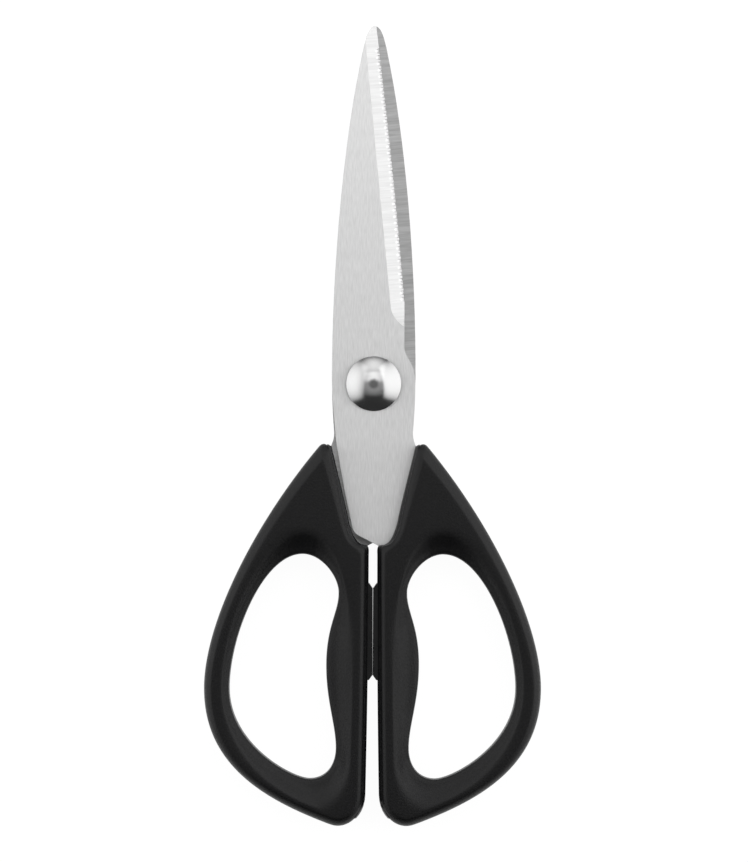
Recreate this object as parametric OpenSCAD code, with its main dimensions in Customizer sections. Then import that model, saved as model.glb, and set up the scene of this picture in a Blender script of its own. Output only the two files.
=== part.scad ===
// Poultry shears: two stamped blades on one pivot bolt, each with a two-part moulded finger loop.
// They lie flat on z = 0, tips towards +Y, with the pivot axis on Z and the closed blades on x = 0.

/* [Blades] */
// Thickness of each blade's steel
blade_t = 2.9; // [2.4:0.1:3.2]
// Free gap between the two blades' inner faces
blade_gap = 0.1; // [0.06:0.02:0.2]
// Width of the ground bevel along the cutting edge
bevel_w = 3.8; // [3:0.1:4.4]
// Thickness left at the cutting edge's chord
edge_land = 0.5; // [0.45:0.05:0.8]
// Radius of the grinding wheel that ends the bevel
heel_r = 10; // [8:1:14]
// Distance between two scallops of the serrated edge
scallop_pitch = 1.71; // [1.6:0.01:2]
// Number of scallops
scallop_count = 40; // [20:1:40]
// Radius of one scallop
scallop_r = 0.75; // [0.6:0.05:0.85]

/* [Pivot] */
// Diameter of the bolt's smooth shank
shank_d = 6; // [5.4:0.1:7]
// Radial running clearance of the shank in the front blade
shank_clearance = 0.05; // [0.02:0.01:0.1]
// Diameter of the bolt's threaded end
thread_d = 5; // [4:0.5:5]
// Diameter of the domed head
head_d = 14.7; // [13:0.1:16]
// Height of the domed head
head_h = 3.4; // [2.8:0.1:4]
// Diameter of the ring nut
nut_d = 11; // [10:0.5:13]
// Thickness of the ring nut
nut_t = 2.3; // [2:0.05:2.35]

/* [Handles] */
// Thickness of the handles
handle_t = 12; // [11.4:0.1:13]
// Height of the bevel round the grip's faces
rim_h = 1.6; // [1:0.1:2]
// Greatest depth of the dish round the finger hole
dish_depth = 2.6; // [1.5:0.1:3]
// Rounding of the finger hole's edge
hole_edge = 0.8; // [0.5:0.1:1.2]
// Ledge of hard core left bare beside the blade
ledge_w = 0.5; // [0.3:0.1:0.8]
// Gap left between the two stop pads when closed
stop_gap = 0.3; // [0.3:0.1:0.6]

/* [Hidden] */
eps = 0.01;

// heights
mid_z = handle_t / 2;
front_z = mid_z + blade_gap / 2;
head_z = front_z + blade_t + blade_gap;
rear_top_z = mid_z - blade_gap / 2;
rear_z = rear_top_z - blade_t;
core_z = rim_h;
core_t = handle_t - 2 * rim_h;

// cutting edge of the front blade, from its heel to its tip
edge_heel = [8.2, 21.9];
edge_tip = [0.3, 96.3];
edge_bow = 0.42;
edge_turn = atan2(edge_tip[1] - edge_heel[1], edge_tip[0] - edge_heel[0]) - 90;
bevel_angle = atan2(blade_t - edge_land, bevel_w);
bevel_turn = 0.4; // the bevel narrows towards the tip by this angle
wheel_back = 1; // the grinding wheel leaves this far behind the heel

// scallops: how far each runs up the bevel, and how far it breaks through at the edge
scallop_run = 1.1;
scallop_through = 0.15;
scallop_first = edge_heel[1] + 0.9;

// ---- curves ----

// Point at t on the cubic curve with ends p[0], p[3] and handles p[1], p[2]
function cubic(p, t) = let (u = 1 - t)
    p[0] * u * u * u + p[1] * 3 * u * u * t + p[2] * 3 * u * t * t + p[3] * t * t * t;

// n points along a cubic curve, without its last one
function curve(p, n) = [for (i = [0:n - 1]) cubic(p, i / n)];

// A straight run written as a cubic curve
function run(a, b) = [a, a + (b - a) / 3, b - (b - a) / 3, b];

// n points from a to b, bowed out to the right of the way by bow, without the last one
function bowed(a, b, bow, n) = let (d = (b - a) / norm(b - a), side = [d[1], -d[0]])
    [for (i = [0:n - 1]) let (t = i / n) a + (b - a) * t + side * bow * 4 * t * (1 - t)];

// Point at u on a closed chain of cubic curves, one curve to each whole number
function chain(curves, u) = let (n = len(curves), v = u < 0 ? u + n : u, k = floor(v))
    cubic(curves[k % n], v - k);

// ---- blades ----

// Outline of the front blade and its tang, anticlockwise from the tip
blade_outline = concat(
    curve([edge_tip, [-1.6, 96.3], [-2.3, 93.6], [-3.05, 90.5]], 6),
    curve([[-3.05, 90.5], [-8.65, 65], [-11.25, 30], [-11.25, 2]], 28),
    curve([[-11.25, 2], [-11.25, -4], [-10.4, -10], [-10.15, -14.5]], 6),
    curve([[-10.15, -14.5], [-9.6, -19], [-7.3, -31], [-5.6, -38.4]], 6),
    curve([[-5.6, -38.4], [-5.3, -39.7], [-4.7, -40.4], [-3.8, -40.8]], 4),
    // the part of the tang inside the handle
    [[-3.8, -40.8], [1.9, -43.8], [3, -47], [3, -66], [5, -66], [5.6, -53], [8, -46.5]],
    [[13, -39], [15.6, -33], [15.6, -28.5], [13.2, -22.5]],
    curve([[12.3, -19], [11.9, -17.3], [10.5, -15.8], [10.6, -13]], 5),
    curve([[10.6, -13], [10.9, -9], [11.2, -5], [11.2, 0]], 4),
    curve([[11.2, 0], [11, 6.4], [8.3, 6.6], [8.2, 9.8]], 8),
    [[8.2, 9.8]],
    bowed(edge_heel, edge_tip, edge_bow, 24)
);

// Holes in the tang that the core's plastic flows through: x, y, radius
tang_locks = [[10.8, -34.5, 2], [13, -28, 1.4]];

// Everything above the bevel, ended by the round of the grinding wheel
module bevel_cut() {
    translate([edge_heel[0], edge_heel[1], edge_land])
        rotate([0, 0, edge_turn - bevel_turn])
            rotate([0, bevel_angle, 0])
                translate([-20, -wheel_back, 0]) {
                    cube([40, 90, 20]);
                    translate([0, 0, heel_r]) rotate([0, 90, 0]) cylinder(r = heel_r, h = 40, $fn = 96);
                }
}

// One scallop, ground at a tilt through the bevel at height y
module scallop_cut(y) {
    t = (y - edge_heel[1]) / (edge_tip[1] - edge_heel[1]);
    bow = edge_bow * 4 * t * (1 - t);
    x = edge_heel[0] + (edge_tip[0] - edge_heel[0]) * t + bow;
    land = edge_land + ((y - edge_heel[1]) * tan(bevel_turn) - bow) * tan(bevel_angle);
    top = land + scallop_run * tan(bevel_angle);
    translate([x, y, 0])
        rotate([0, 0, edge_turn])
            translate([-scallop_run, 0, top])
                rotate([0, 90 + atan2(top + scallop_through, scallop_run), 0])
                    translate([-scallop_r, 0, -0.6]) cylinder(r = scallop_r, h = 4, $fn = 24);
}

// A blade lying on z = 0 with its bevel up
module blade(bore_r, serrated) {
    difference() {
        linear_extrude(blade_t) polygon(blade_outline);
        translate([0, 0, -1]) cylinder(r = bore_r, h = blade_t + 2, $fn = 64);
        for (lock = tang_locks)
            translate([lock[0], lock[1], -1]) cylinder(r = lock[2], h = blade_t + 2, $fn = 48);
        bevel_cut();
        if (serrated)
            for (i = [0:scallop_count - 1]) scallop_cut(scallop_first + i * scallop_pitch);
    }
}

// Turns a front-right piece over into the rear-left one
module turned_over() {
    translate([0, 0, handle_t]) rotate([0, 180, 0]) children();
}

module front_blade() {
    color("silver")
        translate([0, 0, front_z]) blade(shank_d / 2 + shank_clearance, true);
}

module rear_blade() {
    color("gainsboro")
        turned_over() translate([0, 0, front_z]) blade(thread_d / 2, false);
}

// ---- handles ----

// Finger hole and the dish round it, clockwise from the top
hole_curves = [
    [[19, -45.8], [29.2, -45.8], [38.2, -67], [38.5, -81.5]],
    [[38.5, -81.5], [38.8, -97], [21.5, -106.2], [16.8, -106.2]],
    [[16.8, -106.2], [12.6, -106.2], [9.8, -103], [9.8, -97.8]],
    [[9.8, -97.8], [9.8, -91.8], [12.5, -85.4], [12.5, -75.5]],
    [[12.5, -75.5], [12.5, -65.1], [9.2, -61.4], [9.2, -56.3]],
    [[9.2, -56.3], [9.2, -51.7], [13.9, -45.8], [19, -45.8]]
];
dish_curves = [
    [[19, -40.3], [28.5, -40.3], [40.6, -64], [40.6, -81.5]],
    [[40.6, -81.5], [40.6, -95.5], [30.5, -108], [15.2, -113]],
    [[15.2, -113], [11.5, -113.9], [6.3, -109.5], [6.1, -99]],
    [[6.1, -99], [6, -92], [5.8, -83], [5.9, -76]],
    [[5.9, -76], [5.9, -69], [6.1, -62], [7, -56.5]],
    [[7, -56.5], [8.2, -50], [11.5, -40.3], [19, -40.3]]
];

// The handle's rim, clockwise from the horn: steps, outline, edge of the flat face,
// and the stretch of the hole and dish beside it
rim = [
    [5, [[11.25, -16.9], [12, -16.4], [13.4, -15.3], [14.65, -16.9]],
        [[13.2, -20.2], [13.3, -19.7], [13.6, -19.7], [13.8, -20.1]], [-0.3, -0.2]],
    [18, [[14.65, -16.9], [31, -36.5], [45.3, -63.6], [45.3, -82]],
        [[13.8, -20.1], [29.6, -38.7], [43.7, -63.8], [43.7, -82]], [-0.2, 1]],
    [14, [[45.3, -82], [45.3, -103.6], [27.2, -112.5], [11.1, -118.5]],
        [[43.7, -82], [43.7, -102.7], [26.4, -111.1], [11, -116.8]], [1, 2]],
    [8, [[11.1, -118.5], [7.2, -119.9], [2, -117], [1.8, -110.4]],
        [[11, -116.8], [7.6, -118], [3.7, -115.4], [3.6, -110.4]], [2, 2.9]],
    [20, [[1.8, -110.4], [1.5, -95], [1.15, -75], [1.15, -46]],
        [[3.6, -110.4], [3.3, -95], [2.9, -75], [2.9, -47]], [2.9, 5.05]],
    [5, [[1.15, -46], [1.05, -44.4], [1.1, -43.4], [2.2, -43.3]],
        [[2.9, -47], [2.9, -45], [3.6, -44.6], [4.9, -43.7]], [5.05, 5.2]],
    [6, [[2.2, -43.3], [4.4, -43.3], [5.4, -41], [6.4, -37.7]],
        [[4.9, -43.7], [6.6, -42.5], [7.2, -41.2], [8, -38.8]], [5.2, 5.4]],
    [8, [[6.4, -37.7], [7.5, -32], [9.6, -24], [11.25, -16.9]],
        [[8, -38.8], [9.7, -32.6], [11.4, -26.4], [13.2, -20.2]], [5.4, 5.7]]
];
bare_from = 4; // first stretch of rim where the core shows

outline_ring = [for (s = rim) for (i = [0:s[0] - 1]) cubic(s[1], i / s[0])];
face_ring = [for (s = rim) for (i = [0:s[0] - 1]) cubic(s[2], i / s[0])];
reach = [for (s = rim) for (i = [0:s[0] - 1]) s[3][0] + (s[3][1] - s[3][0]) * i / s[0]];
bare = [for (k = [0:len(rim) - 1]) for (i = [0:rim[k][0] - 1]) k >= bare_from ? 1 : 0];
ring_n = len(outline_ring);

// The skin starts a ledge's width behind the bare core
skin_ring = [for (i = [0:ring_n - 1]) let (way = face_ring[i] - outline_ring[i])
    outline_ring[i] + bare[i] * way * ledge_w / norm(way)];

// Unit vector out of the finger hole at u
function hole_out(u) = let (d = chain(hole_curves, u + 0.02) - chain(hole_curves, u - 0.02))
    [-d[1], d[0]] / norm(d);

// One cross-section of the loop's skin, from the outline to the hole
function skin_section(i) = let (
        u = reach[i],
        hole = chain(hole_curves, u),
        dish = chain(dish_curves, u),
        lip = hole + hole_out(u) * hole_edge,
        deep = min(dish_depth, 0.5 * norm(dish - hole)),
        half = (lip + dish) / 2,
        sag = 0.65 * deep,
        out = skin_ring[i],
        face = face_ring[i])
    [
        [face[0], face[1], 0], [out[0], out[1], rim_h],
        [out[0], out[1], handle_t - rim_h], [face[0], face[1], handle_t],
        [dish[0], dish[1], handle_t], [half[0], half[1], handle_t - sag],
        [lip[0], lip[1], handle_t - deep], [hole[0], hole[1], handle_t - deep - hole_edge],
        [hole[0], hole[1], deep + hole_edge], [lip[0], lip[1], deep],
        [half[0], half[1], sag], [dish[0], dish[1], 0]
    ];
section_n = 12;

// The whole loop as one closed band of cross-sections
module loop_skin() {
    points = [for (i = [0:ring_n - 1]) for (p = skin_section(i)) p];
    faces = [for (i = [0:ring_n - 1]) for (j = [0:section_n - 1]) let (
            a = i * section_n + j,
            b = i * section_n + (j + 1) % section_n,
            c = ((i + 1) % ring_n) * section_n + (j + 1) % section_n,
            d = ((i + 1) % ring_n) * section_n + j)
        [a, d, c, b]];
    polyhedron(points = points, faces = faces, convexity = 8);
}

// Flat outline of the hard core: bare beside the blade and down the middle, inside the skin elsewhere.
// It stops at the edge of the dish, so that the soft skin is thick round the finger hole.
core_ring = [for (i = [0:ring_n - 1]) bare[i] == 1 ? outline_ring[i] : face_ring[i]];
core_hole = [for (i = [0:47]) chain(dish_curves, i / 8)];

// Stop pad on the core's middle side
pad_outline = [[3, -53.6], [1, -53.6], [stop_gap / 2, -55], [stop_gap / 2, -78.2], [1, -79.6], [3, -79.6]];
pad_inset = 0.9;

module core_blank() {
    difference() {
        translate([0, 0, core_z]) linear_extrude(core_t) polygon(core_ring);
        translate([0, 0, -eps]) linear_extrude(handle_t) polygon(core_hole);
    }
}

module tang() {
    translate([0, 0, front_z]) linear_extrude(blade_t) polygon(blade_outline);
}

// Tang with its lock holes, as the core grips it
module tang_in_core() {
    difference() {
        tang();
        for (lock = tang_locks)
            translate([lock[0], lock[1], front_z - eps])
                cylinder(r = lock[2], h = blade_t + 2 * eps, $fn = 48);
    }
}

module core() {
    difference() {
        union() {
            core_blank();
            translate([0, 0, core_z + pad_inset])
                linear_extrude(core_t - 2 * pad_inset) polygon(pad_outline);
        }
        tang_in_core();
    }
}

module grip() {
    difference() {
        loop_skin();
        core_blank();
        tang();
    }
}

module right_core() {
    color("dimgray") core();
}

module left_core() {
    color("dimgray") turned_over() core();
}

module right_grip() {
    color([0.13, 0.13, 0.14]) grip();
}

module left_grip() {
    color([0.13, 0.13, 0.14]) turned_over() grip();
}

// ---- pivot ----

head_rim_h = 0.5;
dome_h = head_h - head_rim_h;
dome_r = (pow(head_d / 2, 2) + pow(dome_h, 2)) / (2 * dome_h);
thread_end_z = 0.4;

// Domed head, smooth shank through the front blade, threaded end through the rear blade
module pivot_bolt() {
    color("lightgray") {
        translate([0, 0, head_z]) cylinder(d = head_d, h = head_rim_h, $fn = 96);
        intersection() {
            translate([0, 0, head_z + head_h - dome_r]) sphere(r = dome_r, $fn = 128);
            translate([0, 0, head_z + head_rim_h]) cylinder(d = head_d, h = head_h, $fn = 96);
        }
        translate([0, 0, rear_top_z]) cylinder(d = shank_d, h = head_z - rear_top_z, $fn = 64);
        translate([0, 0, thread_end_z]) cylinder(d = thread_d, h = rear_top_z - thread_end_z, $fn = 64);
    }
}

washer_t = 0.45;
washer_r_in = 2.65;
washer_r_out = 4.6;

// Conical spring washer, inner rim on the rear blade and outer rim on the nut
module spring_washer() {
    color("darkgray")
        rotate_extrude($fn = 96)
            polygon([[washer_r_in, rear_z - washer_t], [washer_r_out, nut_t],
                     [washer_r_out, nut_t + washer_t], [washer_r_in, rear_z]]);
}

nut_chamfer = 0.5;
spanner_r = 0.75;
spanner_at = 4;
spanner_depth = 1.2;

// Ring nut with two blind holes for a pin spanner
module pivot_nut() {
    color("lightgray")
        difference() {
            union() {
                translate([0, 0, nut_chamfer])
                    cylinder(d = nut_d, h = nut_t - nut_chamfer, $fn = 96);
                cylinder(d1 = nut_d - 2 * nut_chamfer, d2 = nut_d, h = nut_chamfer, $fn = 96);
            }
            translate([0, 0, -1]) cylinder(d = thread_d, h = nut_t + 2, $fn = 64);
            for (side = [-1, 1])
                translate([side * spanner_at, 0, -1])
                    cylinder(r = spanner_r, h = spanner_depth + 1, $fn = 32);
        }
}

front_blade();
rear_blade();
right_core();
left_core();
right_grip();
left_grip();
pivot_bolt();
spring_washer();
pivot_nut();
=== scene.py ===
import math

import bmesh
import bpy
from mathutils import Matrix, Vector


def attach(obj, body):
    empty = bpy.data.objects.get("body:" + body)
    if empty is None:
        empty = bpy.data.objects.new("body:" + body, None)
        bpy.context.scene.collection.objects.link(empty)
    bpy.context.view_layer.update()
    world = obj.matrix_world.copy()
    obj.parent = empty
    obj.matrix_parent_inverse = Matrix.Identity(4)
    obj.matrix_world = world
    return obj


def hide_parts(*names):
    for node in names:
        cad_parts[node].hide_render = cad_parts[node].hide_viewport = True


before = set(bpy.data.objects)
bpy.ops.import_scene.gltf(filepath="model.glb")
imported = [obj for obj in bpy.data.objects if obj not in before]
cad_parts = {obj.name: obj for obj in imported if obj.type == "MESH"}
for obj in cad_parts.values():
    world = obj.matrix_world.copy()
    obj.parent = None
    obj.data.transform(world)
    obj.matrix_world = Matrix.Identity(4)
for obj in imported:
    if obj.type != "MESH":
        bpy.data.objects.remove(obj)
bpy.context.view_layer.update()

# the shears' sizes are in mm, times MM, and the studio's are in metres
MM = 0.001


# ---- Studio ----
# The shears lie on a light table. Large soft boxes stand to the right, to the left and past the tips,
# and two more hang overhead. The lens is long and straight above, so that nothing leans.

def linear(hex_colour):
    """An sRGB hex colour as linear RGBA."""
    channels = [int(hex_colour[i:i + 2], 16) / 255 for i in (1, 3, 5)]
    return [c / 12.92 if c <= 0.04045 else ((c + 0.055) / 1.055) ** 2.4 for c in channels] + [1.0]


def add_node(tree, kind, inputs=None, **settings):
    """Adds a node. inputs maps a socket to a value, or to another node's output to link from."""
    node = tree.nodes.new(kind)
    for name, value in settings.items():
        setattr(node, name, value)
    for socket, value in (inputs or {}).items():
        if isinstance(value, bpy.types.NodeSocket):
            tree.links.new(value, node.inputs[socket])
        else:
            node.inputs[socket].default_value = value
    return node


def new_material(name):
    """An empty node material: the material, its tree and its output."""
    material = bpy.data.materials.new(name)
    material.use_nodes = True
    tree = material.node_tree
    tree.nodes.clear()
    return material, tree, add_node(tree, "ShaderNodeOutputMaterial")


def soft_box(name, azimuth, tilt, width, height, radiance, soft):
    """A rectangular light that faces the pivot. azimuth is from +X and tilt from straight up, in
    degrees. width and height are in box distances. Its cloth falls off from the middle to the edges,
    the sooner the smaller soft is, across and along."""
    turn, lean = math.radians(azimuth), math.radians(tilt)
    way = Vector((math.sin(lean) * math.cos(turn), math.sin(lean) * math.sin(turn), math.cos(lean)))
    bpy.ops.object.light_add(type="AREA", location=way * box_distance)
    light = bpy.context.object
    light.name = name
    light.rotation_euler = way.to_track_quat("Z", "Y").to_euler()
    light.data.shape = "RECTANGLE"
    light.data.size = width * box_distance
    light.data.size_y = height * box_distance
    light.data.energy = radiance * math.pi * light.data.size * light.data.size_y
    light.visible_camera = False
    light.data.use_nodes = True
    tree = light.data.node_tree
    place = add_node(tree, "ShaderNodeSeparateXYZ", {
        "Vector": add_node(tree, "ShaderNodeNewGeometry").outputs["Parametric"]})
    falls = []
    for axis, power in zip(("X", "Y"), soft):
        # from -1 at one edge to 1 at the other
        off = add_node(tree, "ShaderNodeMath", {0: place.outputs[axis], 1: 2.0, 2: -1.0},
                       operation="MULTIPLY_ADD")
        away = add_node(tree, "ShaderNodeMath", {0: off.outputs["Value"]}, operation="ABSOLUTE")
        steep = add_node(tree, "ShaderNodeMath", {0: away.outputs["Value"], 1: power}, operation="POWER")
        falls.append(add_node(tree, "ShaderNodeMath", {0: 1.0, 1: steep.outputs["Value"]},
                              operation="SUBTRACT"))
    both = add_node(tree, "ShaderNodeMath", {0: falls[0].outputs["Value"], 1: falls[1].outputs["Value"]},
                    operation="MULTIPLY")
    tree.links.new(both.outputs["Value"], tree.nodes["Emission"].inputs["Strength"])


box_distance = 0.5
soft_box("right_box", 10, 64, 2.5, 1.55, 2.0, (2.5, 10.0))
soft_box("left_box", 171, 66, 2.6, 1.8, 1.9, (2.0, 2.5))
soft_box("tip_box", 90, 55, 1.3, 1.2, 1.6, (2.0, 2.0))
soft_box("ceiling_box", 90, 20, 1.2, 0.6, 1.45, (2.0, 2.5))
soft_box("overhead_box", 90, 0, 1.5, 1.5, 0.55, (2.0, 2.0))

# a lens hood, grey from a painted glow of its own emission rather than from the boxes' light: polished
# steel below it mirrors it as a small dark disc
hood_z, hood_r = 0.45, 0.11
bpy.ops.mesh.primitive_circle_add(vertices=64, radius=hood_r, fill_type="NGON", location=(0, 0, hood_z))
hood = bpy.context.object
hood.name = "lens_hood"
hood.visible_camera = False
matt, tree, output = new_material("lens hood with painted grey glow")
# painted grey: the hood glows by its own emission, though it is no lamp
shader = add_node(tree, "ShaderNodeEmission", {"Color": linear("#ffffff"), "Strength": 0.2})
tree.links.new(shader.outputs["Emission"], output.inputs["Surface"])
hood.data.materials.append(matt)

# the dim room round the boxes
world = bpy.data.worlds.new("studio")
bpy.context.scene.world = world
world.use_nodes = True
world.node_tree.nodes["Background"].inputs["Color"].default_value = linear("#ffffff")
world.node_tree.nodes["Background"].inputs["Strength"].default_value = 0.05

# opal acrylic lit from below, a hair under the shears: it is plain white, with hardly a shadow
floor_size, floor_gap = 4.0, 0.05
bpy.ops.mesh.primitive_plane_add(size=floor_size, location=(0, 0, -floor_gap * MM))
floor = bpy.context.object
floor.name = "light_table"
opal, tree, output = new_material("opal acrylic light table")
shader = add_node(tree, "ShaderNodeBsdfPrincipled", {
    "Base Color": linear("#505050"), "Roughness": 0.9, "Specular IOR Level": 0.0,
    "Emission Color": linear("#ffffff"), "Emission Strength": 0.96})
tree.links.new(shader.outputs["BSDF"], output.inputs["Surface"])
floor.data.materials.append(opal)

# view_height is what the camera sees, from top to bottom, at the blades' height
view_height = 231.5 * MM
view_centre = Vector((0.13, -12.7, 9.0)) * MM
camera_distance = 1.6
sensor = 36.0
roll = math.radians(0.23)
bpy.ops.object.camera_add(location=view_centre + Vector((0, 0, camera_distance)), rotation=(0, 0, roll))
camera = bpy.context.object
camera.data.sensor_width = sensor
camera.data.lens = sensor * camera_distance / view_height
bpy.context.scene.camera = camera
bpy.context.scene.view_settings.view_transform = "Standard"


# ---- Blades ----
# Two blades of 2.9 mm stainless sheet, blanked to outline and brushed lengthways on their outer faces.
# Their inner faces and cutting bevels are ground across, and the front one's edge is serrated.

handle_t = 12.0
blade_t = 2.9
front_z = 6.05
edge_heel, edge_tip = Vector((8.2, 21.9)), Vector((0.3, 96.3))
edge_bow = 0.42


def bowed(a, b, bow):
    """A cubic curve from a to b, bowed out by bow to the right of the way."""
    along = b - a
    side = Vector((along.y, -along.x)).normalized() * bow * 4 / 3
    return [a, a + along / 3 + side, b - along / 3 + side, b]


def straight(a, b):
    """A straight run as a cubic curve."""
    a, b = Vector(a), Vector(b)
    return [a, a.lerp(b, 1 / 3), b.lerp(a, 1 / 3), b]


def closed_outline(*runs):
    """Cubic curves, of four points each, and longer or shorter runs of corners, end to end, as one
    closed list of curves of vectors."""
    curves = []
    for run in runs:
        if len(run) == 4:
            curves.append([Vector(p) for p in run])
        else:
            curves += [straight(a, b) for a, b in zip(run, run[1:])]
    return curves


tang_end = [(-3.8, -40.8), (1.9, -43.8), (3, -47), (3, -66), (5, -66), (5.6, -53), (8, -46.5),
            (13, -39), (15.6, -33), (15.6, -28.5), (13.2, -22.5), (12.3, -19)]
ricasso = [(8.2, 9.8), (8.2, 21.9)]
blade_outline = closed_outline(
    [(0.3, 96.3), (-1.6, 96.3), (-2.3, 93.6), (-3.05, 90.5)],
    [(-3.05, 90.5), (-8.65, 65), (-11.25, 30), (-11.25, 2)],
    [(-11.25, 2), (-11.25, -4), (-10.4, -10), (-10.15, -14.5)],
    [(-10.15, -14.5), (-9.6, -19), (-7.3, -31), (-5.6, -38.4)],
    [(-5.6, -38.4), (-5.3, -39.7), (-4.7, -40.4), (-3.8, -40.8)],
    tang_end,
    [(12.3, -19), (11.9, -17.3), (10.5, -15.8), (10.6, -13)],
    [(10.6, -13), (10.9, -9), (11.2, -5), (11.2, 0)],
    [(11.2, 0), (11, 6.4), (8.3, 6.6), (8.2, 9.8)],
    ricasso,
    bowed(edge_heel, edge_tip, edge_bow),
)


weld = 0.001 * MM
curve_steps = 16


def drawn_plate(name, curves, low, high):
    """A closed curve drawn flat, given its thickness from low to high, and made a mesh."""
    bpy.ops.object.select_all(action="DESELECT")
    bpy.ops.curve.primitive_bezier_curve_add(location=(0, 0, (low + high) / 2 * MM))
    drawing = bpy.context.object
    drawing.name = name
    spline = drawing.data.splines[0]
    spline.bezier_points.add(len(curves) - 2)
    for i, point in enumerate(spline.bezier_points):
        point.handle_left_type = point.handle_right_type = "FREE"
        point.co = curves[i][0].to_3d() * MM
        point.handle_right = curves[i][1].to_3d() * MM
        point.handle_left = curves[i - 1][2].to_3d() * MM
    spline.use_cyclic_u = True
    spline.resolution_u = curve_steps
    drawing.data.dimensions = "2D"
    drawing.data.fill_mode = "BOTH"
    drawing.data.extrude = (high - low) / 2 * MM
    bpy.ops.object.convert(target="MESH")
    bpy.ops.object.transform_apply(location=True, rotation=True, scale=True)
    plate = bpy.context.object
    bpy.ops.object.mode_set(mode="EDIT")
    bpy.ops.mesh.select_all(action="SELECT")
    bpy.ops.mesh.remove_doubles(threshold=weld)
    bpy.ops.object.mode_set(mode="OBJECT")
    # its top and its bottom become one face each
    select_faces(plate, lambda face: abs(face.normal.z) > 0.9)
    bpy.ops.object.mode_set(mode="EDIT")
    bpy.ops.mesh.dissolve_faces()
    bpy.ops.mesh.select_all(action="SELECT")
    bpy.ops.mesh.normals_make_consistent(inside=False)
    bpy.ops.object.mode_set(mode="OBJECT")
    return plate


def select_faces(piece, wanted):
    """Selects just the faces for which wanted(face) is true."""
    mesh = piece.data
    mesh.vertices.foreach_set("select", [False] * len(mesh.vertices))
    mesh.edges.foreach_set("select", [False] * len(mesh.edges))
    mesh.polygons.foreach_set("select", [bool(wanted(face)) for face in mesh.polygons])
    bpy.context.tool_settings.mesh_select_mode = (False, False, True)


def only(piece):
    """Makes a piece the one selected and active object."""
    bpy.ops.object.select_all(action="DESELECT")
    piece.select_set(True)
    bpy.context.view_layer.objects.active = piece


def modify(piece, kind, **settings):
    """Adds a modifier and applies it."""
    only(piece)
    modifier = piece.modifiers.new(kind.lower(), kind)
    for name, value in settings.items():
        setattr(modifier, name, value)
    bpy.ops.object.modifier_apply(modifier=modifier.name)


def cut(piece, cutter, operation="DIFFERENCE"):
    """Cuts piece with cutter, or joins them, and throws the cutter away."""
    modify(piece, "BOOLEAN", object=cutter, operation=operation, solver="EXACT")
    bpy.data.objects.remove(cutter)


def join(pieces):
    """Joins pieces into the first."""
    only(pieces[0])
    for piece in pieces:
        piece.select_set(True)
    bpy.ops.object.join()
    return pieces[0]


def soften(piece, width, angle=25, segments=2):
    """Rounds the edges sharper than angle."""
    modify(piece, "BEVEL", width=width * MM, segments=segments, limit_method="ANGLE",
           angle_limit=math.radians(angle), use_clamp_overlap=True)


def smooth(piece, angle=30, flat_faces=True):
    """Smooth shading but for sharp edges. With flat_faces, broad faces stay flat to the eye."""
    only(piece)
    bpy.ops.object.shade_smooth_by_angle(angle=math.radians(angle))
    if flat_faces:
        modify(piece, "WEIGHTED_NORMAL", mode="FACE_AREA", weight=100, keep_sharp=True)


def turned_over(piece, name):
    """A copy, with its own mesh, turned over about the long axis of the shears."""
    other = piece.copy()
    other.data = piece.data.copy()
    other.name = other.data.name = name
    bpy.context.collection.objects.link(other)
    other.data.transform(Matrix.Translation((0, 0, handle_t * MM)) @ Matrix.Rotation(math.pi, 4, "Y"))
    return other


# the bevel: 3.8 mm wide at its heel and a little less at the tip, down to 0.5 mm at the edge,
# run out by a wheel of 10 mm radius, centred 1 mm behind the heel
bevel_w, edge_land, heel_r, wheel_back = 3.8, 0.5, 10.0, 1.0
bevel_angle = math.atan2(blade_t - edge_land, bevel_w)
bevel_turn = math.radians(0.4)
edge_turn = math.atan2(edge_tip.y - edge_heel.y, edge_tip.x - edge_heel.x) - math.pi / 2
bevel_frame = (Matrix.Translation(Vector((edge_heel.x, edge_heel.y, front_z + edge_land)) * MM)
               @ Matrix.Rotation(edge_turn - bevel_turn, 4, "Z") @ Matrix.Rotation(bevel_angle, 4, "Y"))


def cut_bevel(blade):
    """Grinds the bevel: all that is above its plane, then the round of the wheel at its heel."""
    length, side = 90.0, 40.0
    bpy.ops.mesh.primitive_cube_add(size=1)
    block = bpy.context.object
    block.matrix_world = (bevel_frame
                          @ Matrix.Translation(Vector((0, length / 2 - wheel_back, side / 2)) * MM)
                          @ Matrix.Diagonal((side * MM, length * MM, side * MM, 1)))
    cut(blade, block)
    bpy.ops.mesh.primitive_cylinder_add(vertices=192, radius=heel_r * MM, depth=side * MM)
    wheel = bpy.context.object
    wheel.matrix_world = (bevel_frame @ Matrix.Translation(Vector((0, -wheel_back, heel_r)) * MM)
                          @ Matrix.Rotation(math.pi / 2, 4, "Y"))
    cut(blade, wheel)


# the scallops: 0.75 mm radius, run out 1.1 mm up the bevel, just through at the edge. Each is cut by
# a slanting rod that reaches past the edge
scallop_pitch, scallop_count, scallop_r = 1.71, 40, 0.75
scallop_run, scallop_through = 1.1, 0.15
scallop_first = edge_heel.y + 0.9
rod_length, rod_middle = 4.0, 1.4


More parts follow.
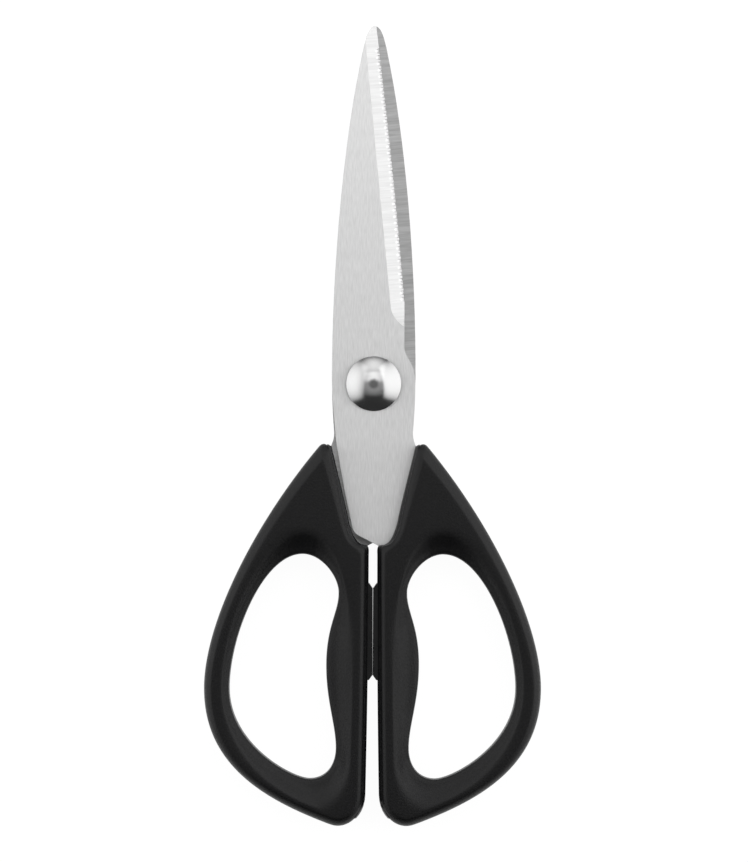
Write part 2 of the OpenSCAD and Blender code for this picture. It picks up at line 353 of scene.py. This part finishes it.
def cut_scallops(blade):
    """Grinds the row of scallops along the cutting edge."""
    rods = []
    for i in range(scallop_count):
        y = scallop_first + i * scallop_pitch
        t = (y - edge_heel.y) / (edge_tip.y - edge_heel.y)
        bow = edge_bow * 4 * t * (1 - t)
        x = edge_heel.x + (edge_tip.x - edge_heel.x) * t + bow
        land = edge_land + ((y - edge_heel.y) * bevel_turn - bow) * math.tan(bevel_angle)
        top = land + scallop_run * math.tan(bevel_angle)
        slope = math.atan2(top + scallop_through, scallop_run)
        place = (Matrix.Translation(Vector((x, y, front_z)) * MM) @ Matrix.Rotation(edge_turn, 4, "Z")
                 @ Matrix.Translation(Vector((-scallop_run, 0, top)) * MM)
                 @ Matrix.Rotation(math.pi / 2 + slope, 4, "Y")
                 @ Matrix.Translation(Vector((-scallop_r, 0, rod_middle)) * MM))
        bpy.ops.mesh.primitive_cylinder_add(
            vertices=32, radius=scallop_r * MM, depth=rod_length * MM)
        rod = bpy.context.object
        rod.matrix_world = place
        rods.append(rod)
    cut(blade, join(rods))


drill_length = 20.0


def drill(blade, x, y, radius):
    """A hole right through a blade."""
    bpy.ops.mesh.primitive_cylinder_add(
        vertices=64, radius=radius * MM, depth=drill_length * MM,
        location=Vector((x, y, front_z)) * MM)
    cut(blade, bpy.context.object)


def ground_steel(name, light, dark, roughness, anisotropy, spread, line, run, lean=0.0):
    """Stainless steel with straight grinding lines, about line wide and run long in mm, and turned by
    lean in radians. spread is the way that the lines smear a highlight, square to them."""
    material, tree, output = new_material(name)
    place = add_node(tree, "ShaderNodeTexCoord").outputs["Object"]
    across = Vector((line, run, run)) if spread == "X" else Vector((run, line, run))
    wide = Vector((line * 3, run, run)) if spread == "X" else Vector((run, line * 3, run))
    fine = add_node(tree, "ShaderNodeMapping", {
        "Vector": place, "Rotation": (0, 0, lean), "Scale": across * MM}, vector_type="TEXTURE")
    broad = add_node(tree, "ShaderNodeMapping", {
        "Vector": place, "Rotation": (0, 0, lean), "Scale": wide * MM}, vector_type="TEXTURE")
    fine_lines = add_node(tree, "ShaderNodeTexNoise", {
        "Vector": fine.outputs["Vector"], "Scale": 1.0, "Detail": 3.0, "Roughness": 0.6})
    broad_lines = add_node(tree, "ShaderNodeTexNoise", {
        "Vector": broad.outputs["Vector"], "Scale": 1.0, "Detail": 2.0, "Roughness": 0.5})
    both = add_node(tree, "ShaderNodeMath", {
        0: fine_lines.outputs["Fac"], 1: broad_lines.outputs["Fac"]}, operation="ADD")
    shade = add_node(tree, "ShaderNodeMapRange", {
        "Value": both.outputs["Value"], "From Min": 0.7, "From Max": 1.3})
    colour = add_node(tree, "ShaderNodeMix", {
        "Factor": shade.outputs["Result"], "A": linear(dark), "B": linear(light)}, data_type="RGBA")
    rough = add_node(tree, "ShaderNodeMapRange", {
        "Value": fine_lines.outputs["Fac"], "From Min": 0.3, "From Max": 0.7,
        "To Min": roughness * 0.88, "To Max": roughness * 1.12})
    bump = add_node(tree, "ShaderNodeBump", {
        "Height": fine_lines.outputs["Fac"], "Strength": 0.25, "Distance": 0.01 * MM})
    way = (1, 0, 0) if spread == "X" else (0, 1, 0)
    tangent = add_node(tree, "ShaderNodeVectorTransform", {"Vector": way},
                       vector_type="VECTOR", convert_from="OBJECT", convert_to="WORLD")
    shader = add_node(tree, "ShaderNodeBsdfPrincipled", {
        "Base Color": colour.outputs["Result"], "Metallic": 1.0, "Roughness": rough.outputs["Result"],
        "Anisotropic": anisotropy, "Tangent": tangent.outputs["Vector"],
        "Normal": bump.outputs["Normal"]})
    tree.links.new(shader.outputs["BSDF"], output.inputs["Surface"])
    return material


# long fine lines: they widen a highlight to left and right, so the flats look an even pale grey
brushed = ground_steel(
    "stainless steel brushed lengthways", "#dcdcdc", "#cacaca", 0.54, 0.9, "X", 0.11, 3.0)
# lines across: they widen a highlight towards the tips, so this face looks darker than the flats
crossground = ground_steel(
    "stainless steel ground across", "#d0d0d0", "#aeaeae", 0.5, 0.88, "Y", 0.3, 9, 0.09)
# the same way but finer: the bevel is the brightest face, with a few thin lines across it
bevelled = ground_steel(
    "stainless steel bevel fine ground", "#d4d4d4", "#c2c2c2", 0.5, 0.8, "Y", 0.16, 12, 0.1)
# short marks of a small wheel: the hollows look a little darker than the bevel round them
scalloped = ground_steel(
    "stainless steel wheel ground scallop", "#d8d8d8", "#cbcbcb", 0.45, 0.3, "Y", 0.3, 3)
# the sheet's own cut edge: dull, with coarse marks
blanked = ground_steel(
    "stainless steel blanked edge", "#c6c6c6", "#b0b0b0", 0.42, 0.3, "Y", 0.5, 1.5)

# a face takes a finish when it lies this near to the flat, to the bevel or to level, as cosines. The
# wheel's round ends heel_past beyond the heel, and all scallops lie outside scallop_in
flat_match, bevel_match, upward_match = 0.98, 0.992, 0.3
heel_past, scallop_in = 0.5, -2.0


def finish_blade(blade, side):
    """Gives each face its finish. side is 1 for the front blade and -1 for the turned over one."""
    for steel in (brushed, crossground, bevelled, scalloped, blanked):
        blade.data.materials.append(steel)
    slope = bevel_frame.to_3x3() @ Vector((0, 0, 1))
    for face in blade.data.polygons:
        normal = Vector((face.normal.x * side, face.normal.y, face.normal.z * side))
        upward = normal.z > upward_match
        along, outward = face.center.y, face.center.x * side
        if normal.z > flat_match:
            face.material_index = 0
        elif normal.z < -flat_match:
            face.material_index = 1
        elif normal.dot(slope) > bevel_match or upward and along < (edge_heel.y + heel_past) * MM:
            face.material_index = 2
        elif upward and along > edge_heel.y * MM and outward > scallop_in * MM:
            face.material_index = 3
        else:
            face.material_index = 4


# each tang has two holes, as (x, y, radius). The front blade is bored to turn on the bolt's shank, and
# the rear one to hold its thread
tang_holes = ((10.8, -34.5, 2), (13, -28, 1.4))
front_bore_r, rear_bore_r = 3.05, 2.5
front_blade = drawn_plate("front_blade_steel", blade_outline, front_z, front_z + blade_t)
cut_bevel(front_blade)
for hole in tang_holes:
    drill(front_blade, *hole)
rear_blade = turned_over(front_blade, "rear_blade_steel")
drill(front_blade, 0, 0, front_bore_r)
drill(rear_blade, 0, 0, rear_bore_r)
for blade in (front_blade, rear_blade):
    soften(blade, 0.1)
cut_scallops(front_blade)
for blade, outer in ((front_blade, 1), (rear_blade, -1)):
    smooth(blade)
    finish_blade(blade, outer)
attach(front_blade, "front_half")
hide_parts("front_blade")
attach(rear_blade, "rear_half")
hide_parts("rear_blade")


# ---- Handle cores ----
# A hard core of black polypropylene is moulded round each tang. It shows as a ledge beside the blade
# and down the middle, and its stop pads meet when the shears close.

# the core's ledge lies rim_h below the face, shows ledge_w wide and slopes down by ledge_drop. The
# skin is dished by dish_depth, or by half the dish's width where that is narrow
rim_h, ledge_w, ledge_drop, dish_depth = 1.6, 0.8, 1.1, 2.6

# the edge of the finger hole and of the dish round it, clockwise from the top of the hole
hole_curves = [
    [(19, -45.8), (29.2, -45.8), (38.2, -67), (38.5, -81.5)],
    [(38.5, -81.5), (38.8, -97), (21.5, -106.2), (16.8, -106.2)],
    [(16.8, -106.2), (12.6, -106.2), (9.8, -103), (9.8, -97.8)],
    [(9.8, -97.8), (9.8, -91.8), (12.5, -85.4), (12.5, -75.5)],
    [(12.5, -75.5), (12.5, -65.1), (9.2, -61.4), (9.2, -56.3)],
    [(9.2, -56.3), (9.2, -51.7), (13.9, -45.8), (19, -45.8)],
]
dish_curves = [
    [(19, -40.3), (28.5, -40.3), (40.6, -64), (40.6, -81.5)],
    [(40.6, -81.5), (40.6, -95.5), (30.5, -108), (15.2, -113)],
    [(15.2, -113), (11.5, -113.9), (6.3, -109.5), (6.1, -99)],
    [(6.1, -99), (6, -92), (5.8, -83), (5.9, -76)],
    [(5.9, -76), (5.9, -69), (6.1, -62), (7, -56.5)],
    [(7, -56.5), (8.2, -50), (11.5, -40.3), (19, -40.3)],
]

# the handle's rim, clockwise from the horn: steps, outline, edge of the flat face,
# the stretch of the hole and dish beside it, and how much of the core shows at its two ends
rim = [
    (8, [(11.25, -16.9), (12, -16.4), (13.4, -15.3), (14.65, -16.9)],
     [(13.2, -20.2), (13.3, -19.7), (13.6, -19.7), (13.8, -20.1)], (-0.3, -0.2), (1, 0)),
    (24, [(14.65, -16.9), (31, -36.5), (45.3, -63.6), (45.3, -82)],
     [(13.8, -20.1), (29.6, -38.7), (43.7, -63.8), (43.7, -82)], (-0.2, 1), (0, 0)),
    (20, [(45.3, -82), (45.3, -103.6), (27.2, -112.5), (11.1, -118.5)],
     [(43.7, -82), (43.7, -102.7), (26.4, -111.1), (11, -116.8)], (1, 2), (0, 0)),
    (12, [(11.1, -118.5), (7.2, -119.9), (2, -117), (1.8, -110.4)],
     [(11, -116.8), (7.6, -118), (3.7, -115.4), (3.6, -110.4)], (2, 2.9), (0, 1)),
    (26, [(1.8, -110.4), (1.5, -95), (1.15, -75), (1.15, -46)],
     [(3.6, -110.4), (3.3, -95), (2.9, -75), (2.9, -47)], (2.9, 5.05), (1, 1)),
    (8, [(1.15, -46), (1.05, -44.4), (1.1, -43.4), (2.2, -43.3)],
     [(2.9, -47), (2.9, -45), (3.6, -44.6), (4.9, -43.7)], (5.05, 5.2), (1, 1)),
    (8, [(2.2, -43.3), (4.4, -43.3), (5.4, -41), (6.4, -37.7)],
     [(4.9, -43.7), (6.6, -42.5), (7.2, -41.2), (8, -38.8)], (5.2, 5.4), (1, 1)),
    (10, [(6.4, -37.7), (7.5, -32), (9.6, -24), (11.25, -16.9)],
     [(8, -38.8), (9.7, -32.6), (11.4, -26.4), (13.2, -20.2)], (5.4, 5.7), (1, 1)),
]


def cubic(curve, t):
    """Point at t on a cubic curve."""
    a, b, c, d = (Vector(p) for p in curve)
    u = 1 - t
    return a * u ** 3 + b * 3 * u * u * t + c * 3 * u * t * t + d * t ** 3


def chain(curves, u):
    """Point at u on a closed chain of cubic curves, one curve to each whole number."""
    k = math.floor(u)
    return cubic(curves[k % len(curves)], u - k)


class Station:
    """One place round the handle, with the points across its section there, in mm."""

    def __init__(self, stretch, t):
        _, outline, face, reach, show = stretch
        u = reach[0] + (reach[1] - reach[0]) * t
        self.outline = cubic(outline, t)
        self.face = cubic(face, t)
        self.dish = chain(dish_curves, u)
        self.hole = chain(hole_curves, u)
        nearby = 0.02
        along = chain(hole_curves, u + nearby) - chain(hole_curves, u - nearby)
        self.hole_out = Vector((-along.y, along.x)).normalized()
        self.show = (show[0] + (show[1] - show[0]) * t) ** 2
        self.inward = (self.face - self.outline).normalized()
        self.skin = self.outline + self.inward * ledge_w * self.show
        self.deep = min(dish_depth, 0.5 * (self.dish - self.hole).length)


stations = [Station(curves, i / curves[0]) for curves in rim for i in range(curves[0])]
mid_z = handle_t / 2


def loop_band(name, section):
    """A closed loop through all stations. section gives the upper half of a station's section, from
    the hole's side to the outline's, as (point, height over the middle). The lower half mirrors it."""
    sections = [section(station) for station in stations]
    bpy.ops.object.select_all(action="DESELECT")
    bpy.ops.mesh.primitive_circle_add(vertices=len(stations), radius=0.01, location=(0, 0, mid_z * MM))
    band = bpy.context.object
    band.name = name
    bpy.ops.object.mode_set(mode="EDIT")
    bpy.context.tool_settings.mesh_select_mode = (False, True, False)
    bpy.ops.mesh.select_all(action="SELECT")
    for ring in range(len(sections[0])):
        # an extruded point starts out where the one it came from is, which tells its station
        if ring > 0:
            bpy.ops.mesh.extrude_edges_move()
        net = bmesh.from_edit_mesh(band.data)
        chosen = [v for v in net.verts if v.select]
        if ring == 0:
            order = {v.co.copy().freeze(): i for i, v in enumerate(chosen)}
        numbers = [order[v.co.copy().freeze()] for v in chosen]
        for v, i in zip(chosen, numbers):
            point, height = sections[i][ring]
            v.co = Vector((point.x, point.y, height)) * MM
        order = {v.co.copy().freeze(): i for v, i in zip(chosen, numbers)}
        bmesh.update_edit_mesh(band.data)
    bpy.ops.object.mode_set(mode="OBJECT")
    modify(band, "MIRROR", use_axis=(False, False, True), merge_threshold=weld)
    bpy.ops.object.transform_apply(location=True, rotation=True, scale=True)
    bpy.ops.object.mode_set(mode="EDIT")
    bpy.ops.mesh.select_all(action="SELECT")
    bpy.ops.mesh.normals_make_consistent(inside=False)
    bpy.ops.object.mode_set(mode="OBJECT")
    return band


def core_section(s):
    """Half of the core's section at station s. Where it shows, its edge slopes away from the skin."""
    under_skin = 0.1
    shown = min(1, s.show * 3)
    top = mid_z - rim_h
    inner = s.face.lerp(s.skin + s.inward * under_skin, shown)
    outer = s.face.lerp(s.outline, shown)
    return [
        (s.dish, 0),
        (s.dish, top),
        (inner, top),
        (inner.lerp(outer, 0.6), top - ledge_drop * 0.4),
        (outer, top - ledge_drop),
        (outer, 0),
    ]


def drawn_from(corners):
    """A closed outline of straight runs through corners."""
    return [straight(a, b) for a, b in zip(corners, corners[1:] + corners[:1])]


# the stop pad, inset from the core's faces. The gap between the two pads narrows to their foot
pad_inset, gap_top, gap_foot = 0.9, 0.08, 0.02
pad_corners = [(3, -53.6), (1, -53.6), (gap_top / 2, -55), (gap_foot / 2, -78.2), (1, -79.6), (3, -79.6)]

core_blank = loop_band("core_blank", core_section)
right_core = core_blank.copy()
right_core.data = core_blank.data.copy()
right_core.name = "right_core_moulding"
bpy.context.collection.objects.link(right_core)
pad = drawn_plate("pad", drawn_from(pad_corners), rim_h + pad_inset, handle_t - rim_h - pad_inset)
soften(pad, 1.0, 80, 5)
cut(right_core, pad, "UNION")
cut(right_core, drawn_plate("slot", blade_outline, front_z, front_z + blade_t))
soften(right_core, 0.3, 50, 3)

# the plastic that runs through the tang's holes and locks it
plug_length = blade_t + 1
for x, y, radius in tang_holes:
    bpy.ops.mesh.primitive_cylinder_add(
        vertices=64, radius=radius * MM, depth=plug_length * MM,
        location=Vector((x, y, front_z + blade_t / 2)) * MM)
    cut(right_core, bpy.context.object, "UNION")
smooth(right_core, 35)

# smooth from the mould and shinier than the skin, with a faint slow unevenness: thin lit edges on black
polypropylene, tree, output = new_material("black polypropylene")
place = add_node(tree, "ShaderNodeTexCoord").outputs["Object"]
flow = add_node(tree, "ShaderNodeTexNoise", {
    "Vector": place, "Scale": 1 / (2.5 * MM), "Detail": 2.0, "Roughness": 0.5})
rough = add_node(tree, "ShaderNodeMapRange", {
    "Value": flow.outputs["Fac"], "From Min": 0.3, "From Max": 0.7, "To Min": 0.24, "To Max": 0.34})
bump = add_node(tree, "ShaderNodeBump", {
    "Height": flow.outputs["Fac"], "Strength": 0.4, "Distance": 0.05 * MM})
shader = add_node(tree, "ShaderNodeBsdfPrincipled", {
    "Base Color": linear("#0c0c0d"), "Roughness": rough.outputs["Result"], "IOR": 1.42,
    "Normal": bump.outputs["Normal"]})
tree.links.new(shader.outputs["BSDF"], output.inputs["Surface"])
right_core.data.materials.append(polypropylene)
left_core = turned_over(right_core, "left_core_moulding")
for core, body, node in (
        (right_core, "front_half", "right_core"),
        (left_core, "rear_half", "left_core")):
    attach(core, body)
    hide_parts(node)


# ---- Grips ----
# A soft skin of black elastomer is moulded over each core. It is rounded along its outer rim,
# flat on its faces and dished round the finger hole, with a fine matt texture from the mould.

# the skin is rounded by hole_edge at the finger hole, and the dish slopes up to a fillet on the face.
# dish_profile is how far across the dish and how far up its slope passes through
hole_edge, fillet_max, fillet_share = 0.8, 1.3, 0.35
dish_profile = ((0.06, 0.03), (0.3, 0.16), (0.55, 0.42), (0.8, 0.71))

# along the rim a faint crease, then a round down to the wall, taller by extra_drop where no core shows
crease, round_start, round_angles, extra_drop = 0.16, 40, (50, 60, 70, 80, 90), 1.6


def grip_section(s):
    """Half of the skin's section at station s, from the wall of the finger hole over the face to the
    outer wall."""
    lip = s.hole + s.hole_out * hole_edge
    to_dish = s.dish - lip
    to_face = s.face - s.dish
    fillet = to_face.normalized() * min(fillet_max, to_face.length * fillet_share)
    low = mid_z - s.deep
    wall = s.skin
    foot = mid_z - rim_h
    drop = rim_h + extra_drop * (1 - s.show)
    start = math.radians(round_start)
    edge_round = []
    for degrees in round_angles:
        a = math.radians(degrees)
        out = (math.sin(a) - math.sin(start)) / (1 - math.sin(start))
        down = (math.cos(start) - math.cos(a)) / math.cos(start)
        edge_round.append((s.face.lerp(wall, out), mid_z - crease - (drop - crease) * down))
    return [
        (s.hole, 0),
        (s.hole, (low - hole_edge) * 0.7),
        (s.hole + s.hole_out * 0.05, low - hole_edge),
        (s.hole + s.hole_out * hole_edge * 0.35, low - hole_edge * 0.35),
        *[(lip + to_dish * across, low + s.deep * up) for across, up in dish_profile],
        (s.dish, low + s.deep * 0.89),
        (s.dish + fillet, mid_z - 0.04),
        (s.dish + fillet * 2, mid_z),
        (s.face + s.inward * 1.1, mid_z),
        (s.face + s.inward * 0.5, mid_z - 0.02),
        (s.face + s.inward * 0.1, mid_z - 0.12),
        *edge_round,
        (wall, foot - 2),
        (wall, 0),
    ]


right_grip = loop_band("right_grip_skin", grip_section)
modify(right_grip, "SUBSURF", levels=2, render_levels=2)
cut(right_grip, core_blank)
smooth(right_grip, 40, flat_faces=False)

# a matt grain off the mould: a deep black with soft wide highlights along the rounded edges
elastomer, tree, output = new_material("black elastomer")
place = add_node(tree, "ShaderNodeTexCoord").outputs["Object"]
grain = add_node(tree, "ShaderNodeTexNoise", {
    "Vector": place, "Scale": 1 / (0.5 * MM), "Detail": 3.0, "Roughness": 0.7})
bump = add_node(tree, "ShaderNodeBump", {
    "Height": grain.outputs["Fac"], "Strength": 1.0, "Distance": 0.11 * MM})
rough = add_node(tree, "ShaderNodeMapRange", {
    "Value": grain.outputs["Fac"], "From Min": 0.3, "From Max": 0.7, "To Min": 0.5, "To Max": 0.28})
shader = add_node(tree, "ShaderNodeBsdfPrincipled", {
    "Base Color": linear("#09090a"), "Roughness": rough.outputs["Result"], "IOR": 1.32,
    "Normal": bump.outputs["Normal"]})
tree.links.new(shader.outputs["BSDF"], output.inputs["Surface"])
right_grip.data.materials.append(elastomer)
left_grip = turned_over(right_grip, "left_grip_skin")
for grip, body, node in (
        (right_grip, "front_half", "right_grip"),
        (left_grip, "rear_half", "left_grip")):
    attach(grip, body)
    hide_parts(node)


# ---- Pivot bolt ----
# A stainless bolt, turned from bar: a polished domed head, a smooth shank that the front blade turns
# on, and a threaded end through the rear blade.

head_z, head_rim_h, head_h, head_r, head_chamfer = 9.05, 0.5, 3.4, 7.35, 0.12
dome_h = head_h - head_rim_h
dome_r = (head_r ** 2 + dome_h ** 2) / (2 * dome_h)
shank_r, thread_r, thread_pitch, thread_deep = 3.0, 2.5, 0.8, 0.35
rear_top_z, thread_end_z, thread_start, end_chamfer = 5.95, 0.4, 0.3, 0.4


def turned(name, profile, steps=128):
    """A piece turned on the lathe: a closed half-profile of (radius, height) spun about the pivot."""
    bpy.ops.object.select_all(action="DESELECT")
    bpy.ops.mesh.primitive_circle_add(vertices=len(profile), radius=0.01)
    piece = bpy.context.object
    piece.name = name
    for vertex, (radius, height) in zip(piece.data.vertices, profile):
        vertex.co = Vector((radius, 0, height)) * MM
    bpy.ops.object.mode_set(mode="EDIT")
    bpy.ops.mesh.select_all(action="SELECT")
    bpy.ops.mesh.spin(steps=steps, angle=2 * math.pi, center=(0, 0, 0), axis=(0, 0, 1))
    bpy.ops.mesh.select_all(action="SELECT")
    bpy.ops.mesh.remove_doubles(threshold=weld)
    bpy.ops.mesh.normals_make_consistent(inside=False)
    bpy.ops.object.mode_set(mode="OBJECT")
    return piece


crown_z = head_z + head_h
dome_angle = math.asin(head_r / dome_r)
dome_steps = 16
bolt_profile = []
for i in range(dome_steps):
    a = dome_angle * i / dome_steps
    bolt_profile.append((dome_r * math.sin(a), crown_z - dome_r * (1 - math.cos(a))))
bolt_profile += [
    (head_r, head_z + head_rim_h),
    (head_r, head_z + head_chamfer),
    (head_r - head_chamfer, head_z),
    (shank_r, head_z),
    (shank_r, rear_top_z),
    (thread_r, rear_top_z),
]

# the thread as rings, each a groove that takes up four fifths of the pitch
turns = int((rear_top_z - thread_end_z - 2 * thread_start) / thread_pitch)
for i in range(turns):
    crest = rear_top_z - thread_start - i * thread_pitch
    bolt_profile += [
        (thread_r, crest),
        (thread_r - thread_deep, crest - thread_pitch * 0.4),
        (thread_r, crest - thread_pitch * 0.8),
    ]
bolt_profile += [
    (thread_r, thread_end_z + end_chamfer),
    (thread_r - end_chamfer, thread_end_z),
    (0, thread_end_z),
]
bolt = turned("pivot_bolt_turned", bolt_profile)
smooth(bolt, 25, flat_faces=False)

# polished on a wheel: it mirrors the soft boxes sharply but for the wheel's fine hairlines
polished, tree, output = new_material("stainless steel polished")
place = add_node(tree, "ShaderNodeTexCoord").outputs["Object"]
marks = add_node(tree, "ShaderNodeMapping", {
    "Vector": place, "Scale": Vector((0.2, 3.0, 0.2)) * MM}, vector_type="TEXTURE")
hairlines = add_node(tree, "ShaderNodeTexNoise", {
    "Vector": marks.outputs["Vector"], "Scale": 1.0, "Detail": 2.0, "Roughness": 0.5})
rough = add_node(tree, "ShaderNodeMapRange", {
    "Value": hairlines.outputs["Fac"], "From Min": 0.3, "From Max": 0.7, "To Min": 0.14, "To Max": 0.2})
bump = add_node(tree, "ShaderNodeBump", {
    "Height": hairlines.outputs["Fac"], "Strength": 0.5, "Distance": 0.015 * MM})
shader = add_node(tree, "ShaderNodeBsdfPrincipled", {
    "Base Color": linear("#b6b6b6"), "Metallic": 1.0, "Roughness": rough.outputs["Result"],
    "Normal": bump.outputs["Normal"]})
tree.links.new(shader.outputs["BSDF"], output.inputs["Surface"])
bolt.data.materials.append(polished)
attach(bolt, "rear_half")
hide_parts("pivot_bolt")


# ---- Spring washer ----
# A cone pressed from thin spring steel, on the thread between the rear blade and the nut. Squeezed
# a little by the nut, it keeps the blades together.

nut_t, washer_t, washer_r_in, washer_r_out = 2.3, 0.45, 2.65, 4.6
rear_z = rear_top_z - blade_t
washer = turned("spring_washer_pressed", [
    (washer_r_in, rear_z - washer_t),
    (washer_r_out, nut_t),
    (washer_r_out, nut_t + washer_t),
    (washer_r_in, rear_z),
], 96)
soften(washer, 0.08)
smooth(washer)
# left as pressed: dull, like the blanked edges of the blades
washer.data.materials.append(blanked)
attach(washer, "rear_half")
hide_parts("spring_washer")


# ---- Pivot nut ----
# A flat ring nut of the bolt's steel, turned and polished like it, and tightened with a pin spanner
# in its two holes. Its back is level with the backs of the handles.

nut_r, nut_chamfer = 5.5, 0.5
spanner_r, spanner_at, spanner_depth = 0.75, 4.0, 1.2
nut = turned("pivot_nut_turned", [
    (thread_r, 0),
    (nut_r - nut_chamfer, 0),
    (nut_r, nut_chamfer),
    (nut_r, nut_t),
    (thread_r, nut_t),
], 96)
for side in (-1, 1):
    bpy.ops.mesh.primitive_cylinder_add(
        vertices=32, radius=spanner_r * MM, depth=2 * spanner_depth * MM,
        location=(side * spanner_at * MM, 0, 0))
    cut(nut, bpy.context.object)
soften(nut, 0.08)
smooth(nut)
nut.data.materials.append(polished)
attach(nut, "rear_half")
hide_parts("pivot_nut")
